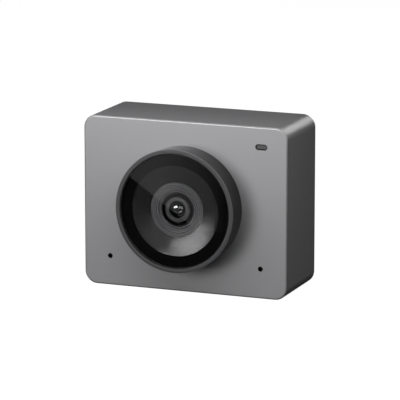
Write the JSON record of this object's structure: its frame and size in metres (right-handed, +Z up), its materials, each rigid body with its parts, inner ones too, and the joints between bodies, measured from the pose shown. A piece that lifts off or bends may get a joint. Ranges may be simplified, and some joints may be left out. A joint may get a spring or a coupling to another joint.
{
  "type": "webcam",
  "caption": "Small box-shaped webcam in grey metal with a raised round lens ring behind flat glass, an autofocus lens unit, a socket for its cable and a tripod thread.",
  "frame": {"origin": "on the axis of the tripod thread, where it meets the flat bottom face", "axes": "+X to the viewer's right along the longest side, +Z up, the lens looks along -Y"},
  "size_m": [0.048, 0.0246, 0.0383],
  "materials": {
    "housing_metal": "bead-blasted and anodised, satin grey",
    "ring_metal": "turned and anodised, satin dark grey",
    "cover_plastic": "matte dark grey, moulded",
    "cover_glass": "polished, clear",
    "hood_plastic": "matte black, moulded",
    "black_adhesive": "black double-sided tape",
    "foam": "soft black foam",
    "frame_metal": "die-cast, plain",
    "screw_steel": "plated steel",
    "black_screw_steel": "black-plated steel",
    "can_steel": "drawn sheet, nickel-plated",
    "magnet_plating": "nickel-plated magnet",
    "spring_copper": "rolled copper alloy sheet",
    "coil_copper": "enamelled winding wire",
    "module_plastic": "matte black moulding",
    "barrel_plastic": "matte black, fine-turned",
    "lens_glass": "coated and polished",
    "filter_glass": "blue-green coated plate",
    "sensor_silicon": "mirror-smooth die",
    "board_laminate": "solder mask, satin",
    "chip_plastic": "moulded package, matte black",
    "component_ceramic": "sintered, tan",
    "inductor_ferrite": "pressed ferrite, grey",
    "flex_film": "amber film",
    "connector_plastic": "moulded, ivory",
    "gasket_rubber": "soft black rubber",
    "membrane_cloth": "fine acoustic cloth",
    "mic_metal": "tinned cap",
    "window_plastic": "smoked, polished",
    "led_plastic": "clear resin",
    "spreader_metal": "milled, plain",
    "silicone": "soft grey-blue silicone",
    "usb_steel": "drawn stainless shell",
    "usb_plastic": "moulded, black",
    "insert_steel": "turned, nickel-plated"
  },
  "bodies": {
    "body": {"actuator_base": "module_plastic", "actuator_cover": "can_steel", "actuator_magnets": "magnet_plating", "board_capacitors": "component_ceramic", "board_cushions": "silicone", "cover_glass": "cover_glass", "front_board": "board_laminate", "front_board_flex": "flex_film", "front_housing": "housing_metal", "front_leaf_spring": "spring_copper", "glass_adhesive_ring": "black_adhesive", "heat_spreader": "spreader_metal", "image_sensor": "sensor_silicon", "indicator_led": "led_plastic", "indicator_window": "window_plastic", "infrared_filter": "filter_glass", "inner_frame": "frame_metal", "left_mic_gasket": "gasket_rubber", "left_mic_membrane": "membrane_cloth", "left_microphone": "mic_metal", "lens_hood": "hood_plastic", "lens_ring": "ring_metal", "lens_ring_screws": "screw_steel", "main_board": "board_laminate", "memory_chips": "chip_plastic", "module_foam": "foam", "power_inductors": "inductor_ferrite", "rear_cover": "cover_plastic", "rear_cover_screws": "black_screw_steel", "rear_leaf_spring": "spring_copper", "right_mic_gasket": "gasket_rubber", "right_mic_membrane": "membrane_cloth", "right_microphone": "mic_metal", "sensor_board": "board_laminate", "sensor_board_screws": "screw_steel", "sensor_connector": "connector_plastic", "sensor_flex": "flex_film", "side_connectors": "connector_plastic", "spring_spacer": "module_plastic", "thermal_pad": "silicone", "tripod_insert": "insert_steel", "tripod_strap": "screw_steel", "tripod_strap_screws": "screw_steel", "usb_shell": "usb_steel", "usb_tongue": "usb_plastic", "video_processor": "chip_plastic"},
    "focus_unit": {"lens_barrel": "barrel_plastic", "front_lens": "lens_glass", "aperture_stop": "module_plastic", "middle_lens": "lens_glass", "rear_lens": "lens_glass", "lens_retainer": "barrel_plastic", "lens_carrier": "module_plastic", "focus_coil": "coil_copper"}
  },
  "joints": [
    {"name": "focus_travel", "type": "slide", "parent": "body", "child": "focus_unit", "axis": [0, -1, 0], "range_m": [0, 0.0003], "stiffness_N_per_m": 120, "springref_m": -0.0002, "deforming": ["front_leaf_spring", "rear_leaf_spring"]}
  ]
}
